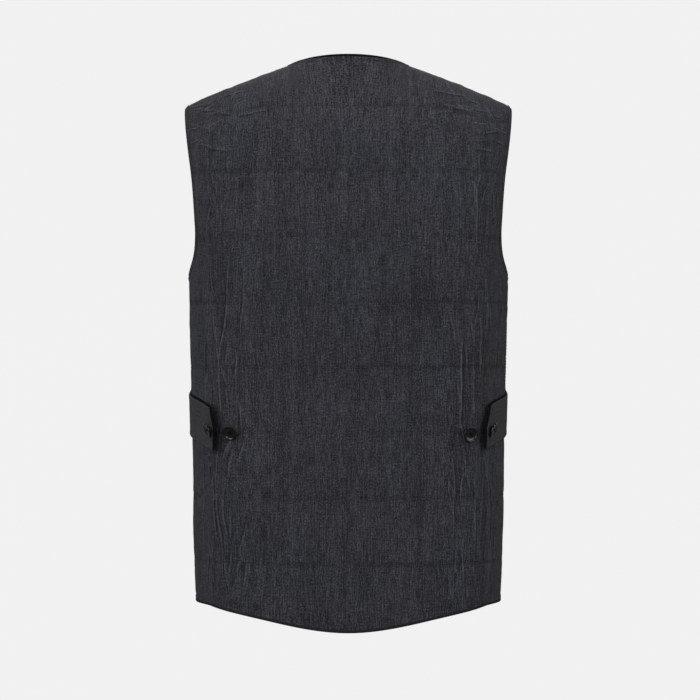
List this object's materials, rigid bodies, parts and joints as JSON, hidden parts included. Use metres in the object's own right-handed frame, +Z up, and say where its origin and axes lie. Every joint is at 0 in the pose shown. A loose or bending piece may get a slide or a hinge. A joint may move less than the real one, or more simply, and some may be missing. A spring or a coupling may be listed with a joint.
{
  "type": "quilted vest",
  "caption": "Sleeveless quilted vest with a V neck, bound edges, buttoned front and buttoned side tabs, in its worn shape with no wearer.",
  "frame": {"origin": "middle of the shoulders, level with the middle of the two shoulder seams", "axes": "+Z up, +Y toward the back, +X toward the wearer's left"},
  "size_m": [0.3926, 0.2425, 0.6759],
  "materials": {
    "quilted_linen": "matt slubbed linen, quilted in large squares",
    "plain_linen": "matt plain linen",
    "edging": "matt narrow binding",
    "horn": "polished horn-like plastic"
  },
  "bodies": {
    "root": {"back_panel": "quilted_linen", "front_left": "quilted_linen", "front_right": "quilted_linen", "neck_binding": "edging", "hem_binding": "edging", "armhole_binding_left": "edging", "armhole_binding_right": "edging", "tab_left": "plain_linen", "tab_right": "plain_linen", "tab_facing_left": "edging", "tab_facing_right": "edging", "tab_button_left": "horn", "tab_button_right": "horn", "spare_button_left": "horn", "spare_button_right": "horn", "front_button_1": "horn", "front_button_2": "horn", "front_button_3": "horn", "front_button_4": "horn", "front_button_5": "horn"}
  },
  "joints": []
}
